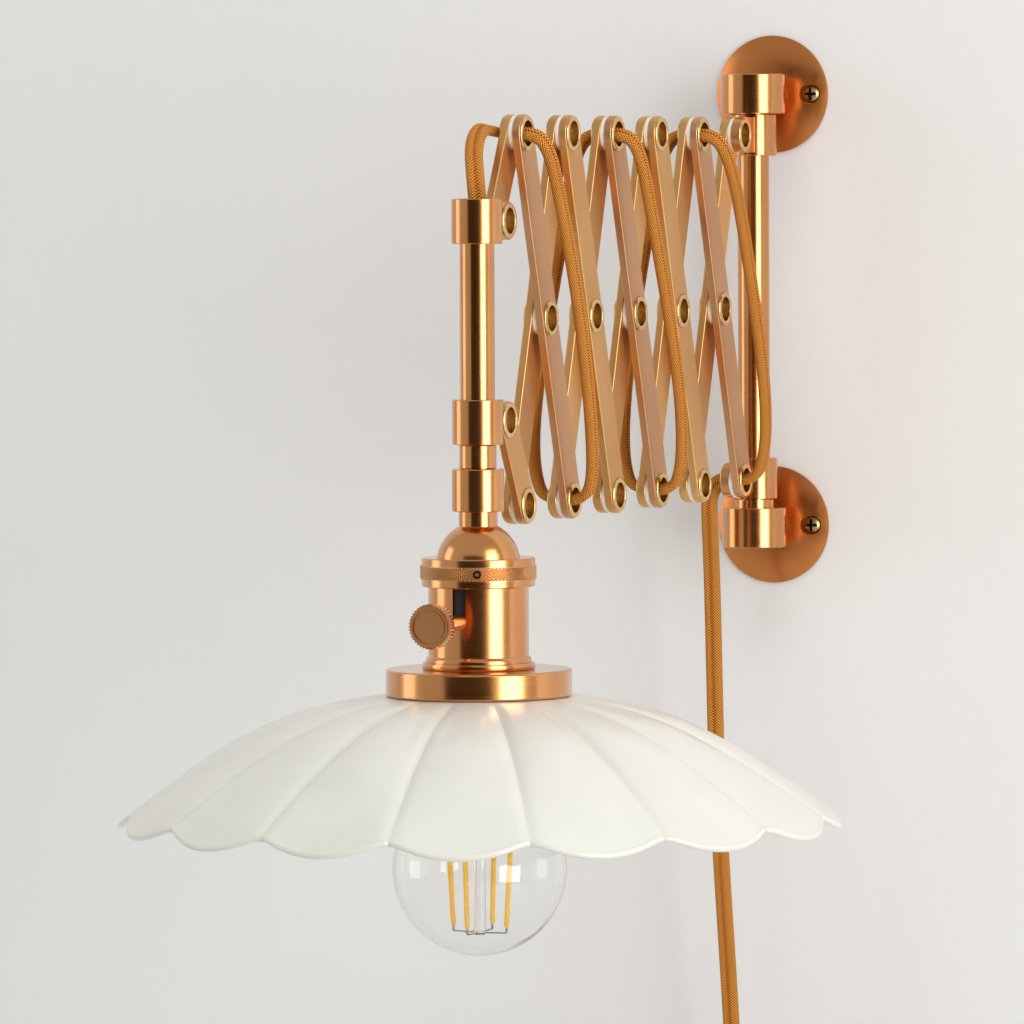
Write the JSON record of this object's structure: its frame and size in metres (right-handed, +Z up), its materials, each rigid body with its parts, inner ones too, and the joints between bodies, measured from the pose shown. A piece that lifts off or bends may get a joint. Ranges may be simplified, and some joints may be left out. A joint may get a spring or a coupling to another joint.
{
  "type": "accordion wall lamp",
  "caption": "Wall lamp on a folding scissor arm of flat copper bars, with a scalloped white dish shade, a globe bulb, a turn switch and a braided cord woven through the arm.",
  "frame": {"origin": "centre of the four wall screws, on the wall's face", "axes": "+Z up, +X to the right as the room sees it, -Y out from the wall along the arm"},
  "size_m": [0.2798, 0.4915, 0.5704],
  "materials": {
    "copper": "brushed copper-plated brass",
    "bar_copper": "satin copper-plated flat bar",
    "eyelet_brass": "polished brass",
    "washer_plastic": "natural white plastic",
    "screw_brass": "aged brass",
    "insert_black": "black phenolic",
    "shade_enamel": "off-white enamel on steel",
    "bulb_glass": "clear glass",
    "cap_metal": "plain brass",
    "filament_glow": "yellow coated filament",
    "cord_braid": "amber cotton braid",
    "plug_plastic": "dark brown plastic"
  },
  "bodies": {
    "wall": {"upper_wall_plate": "copper", "lower_wall_plate": "copper", "wall_screws": "screw_brass", "upper_rod_holder": "copper", "lower_rod_holder": "copper"},
    "swing": {"wall_rod": "copper", "upper_wall_collar": "copper", "wall_eyelets": "eyelet_brass", "wall_washers": "washer_plastic"},
    "left_1": {"left_bar_1": "bar_copper"},
    "right_1": {"right_bar_1": "bar_copper", "eyelets_1": "eyelet_brass", "washers_1": "washer_plastic", "cord_span_1": "cord_braid"},
    "left_2": {"left_bar_2": "bar_copper", "cord_span_2": "cord_braid"},
    "right_2": {"right_bar_2": "bar_copper", "eyelets_2": "eyelet_brass", "washers_2": "washer_plastic"},
    "left_3": {"left_bar_3": "bar_copper"},
    "right_3": {"right_bar_3": "bar_copper", "eyelets_3": "eyelet_brass", "washers_3": "washer_plastic", "cord_span_3": "cord_braid"},
    "left_4": {"left_bar_4": "bar_copper", "cord_span_4": "cord_braid"},
    "right_4": {"right_bar_4": "bar_copper", "eyelets_4": "eyelet_brass", "washers_4": "washer_plastic"},
    "left_5": {"left_bar_5": "bar_copper"},
    "right_5": {"right_bar_5": "bar_copper", "eyelets_5": "eyelet_brass", "washers_5": "washer_plastic", "cord_span_5": "cord_braid"},
    "upper_link": {"upper_end_link": "bar_copper"},
    "lower_link": {"lower_end_link": "bar_copper", "end_link_eyelets": "eyelet_brass", "end_link_washers": "washer_plastic"},
    "lower_slide": {"lower_wall_collar": "copper", "supply_cord": "cord_braid", "cord_coil": "cord_braid", "plug": "plug_plastic"},
    "lamp": {"upper_lamp_collar": "copper", "lamp_eyelets": "eyelet_brass", "lamp_washers": "washer_plastic", "lamp_rod": "copper", "neck_tube": "copper", "lamp_cord": "cord_braid"},
    "lamp_slide": {"lower_lamp_collar": "copper"},
    "head": {"swivel_collar": "copper", "socket_cap": "copper", "knurled_ring": "copper", "socket_shell": "copper", "socket_insert": "insert_black", "shade_fitter": "copper", "shade": "shade_enamel", "bulb_glass": "bulb_glass", "bulb_cap": "cap_metal", "bulb_filaments": "filament_glow"},
    "knob": {"switch_knob": "copper"}
  },
  "joints": [
    {"name": "swing", "type": "hinge", "parent": "wall", "child": "swing", "pos_m": [0, -0.024, 0], "axis": [0, 0, 1], "range_deg": [-65, 65]},
    {"name": "extend", "type": "hinge", "parent": "swing", "child": "left_5", "pos_m": [0, -0.0458, 0.07462], "axis": [-1, 0, 0], "range_deg": [0, 50]},
    {"name": "cross_5", "type": "hinge", "parent": "left_5", "child": "right_5", "pos_m": [0, -0.06992, 0.0017], "axis": [-1, 0, 0], "range_deg": [-102, 2]},
    {"name": "low_5", "type": "hinge", "parent": "left_5", "child": "right_4", "pos_m": [0, -0.09403, -0.07122], "axis": [-1, 0, 0], "range_deg": [-102, 2]},
    {"name": "cross_4", "type": "hinge", "parent": "right_4", "child": "left_4", "pos_m": [0, -0.11814, 0.0017], "axis": [-1, 0, 0], "range_deg": [-2, 102]},
    {"name": "high_4", "type": "hinge", "parent": "right_4", "child": "left_3", "pos_m": [0, -0.14226, 0.07462], "axis": [-1, 0, 0], "range_deg": [-2, 102]},
    {"name": "cross_3", "type": "hinge", "parent": "left_3", "child": "right_3", "pos_m": [0, -0.16637, 0.0017], "axis": [-1, 0, 0], "range_deg": [-102, 2]},
    {"name": "low_3", "type": "hinge", "parent": "left_3", "child": "right_2", "pos_m": [0, -0.19049, -0.07122], "axis": [-1, 0, 0], "range_deg": [-102, 2]},
    {"name": "cross_2", "type": "hinge", "parent": "right_2", "child": "left_2", "pos_m": [0, -0.2146, 0.0017], "axis": [-1, 0, 0], "range_deg": [-2, 102]},
    {"name": "high_2", "type": "hinge", "parent": "right_2", "child": "left_1", "pos_m": [0, -0.23872, 0.07462], "axis": [-1, 0, 0], "range_deg": [-2, 102]},
    {"name": "cross_1", "type": "hinge", "parent": "left_1", "child": "right_1", "pos_m": [0, -0.26283, 0.0017], "axis": [-1, 0, 0], "range_deg": [-102, 2]},
    {"name": "link_up", "type": "hinge", "parent": "right_1", "child": "upper_link", "pos_m": [0, -0.28695, 0.07462], "axis": [-1, 0, 0], "range_deg": [-2, 102]},
    {"name": "link_low", "type": "hinge", "parent": "left_1", "child": "lower_link", "pos_m": [0, -0.28695, -0.07122], "axis": [-1, 0, 0], "range_deg": [-102, 2]},
    {"name": "wall_slide", "type": "hinge", "parent": "right_5", "child": "lower_slide", "pos_m": [0, -0.0458, -0.07122], "axis": [-1, 0, 0], "range_deg": [-2, 52]},
    {"name": "lamp_hang", "type": "hinge", "parent": "upper_link", "child": "lamp", "pos_m": [0, -0.30569, 0.04053], "axis": [-1, 0, 0], "range_deg": [-52, 2], "deforming": ["lamp_cord"]},
    {"name": "lamp_slide", "type": "hinge", "parent": "lower_link", "child": "lamp_slide", "pos_m": [0, -0.30569, -0.03713], "axis": [-1, 0, 0], "range_deg": [-2, 52]},
    {"name": "head_turn", "type": "hinge", "parent": "lamp", "child": "head", "pos_m": [0, -0.32809, -0.05528], "axis": [0, 0, 1], "range_deg": [-150, 150]},
    {"name": "switch_turn", "type": "hinge", "parent": "head", "child": "knob", "pos_m": [0, -0.36809, -0.11378], "axis": [0, 1, 0], "continuous": true}
  ],
  "couplings": [
    {"joint": "cross_5", "follows": "extend", "ratio": -2},
    {"joint": "low_5", "follows": "extend", "ratio": -2},
    {"joint": "cross_4", "follows": "extend", "ratio": 2},
    {"joint": "high_4", "follows": "extend", "ratio": 2},
    {"joint": "cross_3", "follows": "extend", "ratio": -2},
    {"joint": "low_3", "follows": "extend", "ratio": -2},
    {"joint": "cross_2", "follows": "extend", "ratio": 2},
    {"joint": "high_2", "follows": "extend", "ratio": 2},
    {"joint": "cross_1", "follows": "extend", "ratio": -2},
    {"joint": "link_up", "follows": "extend", "ratio": 2},
    {"joint": "link_low", "follows": "extend", "ratio": -2},
    {"joint": "wall_slide", "follows": "extend", "ratio": 1},
    {"joint": "lamp_hang", "follows": "extend", "ratio": -1},
    {"joint": "lamp_slide", "follows": "extend", "ratio": 1}
  ]
}
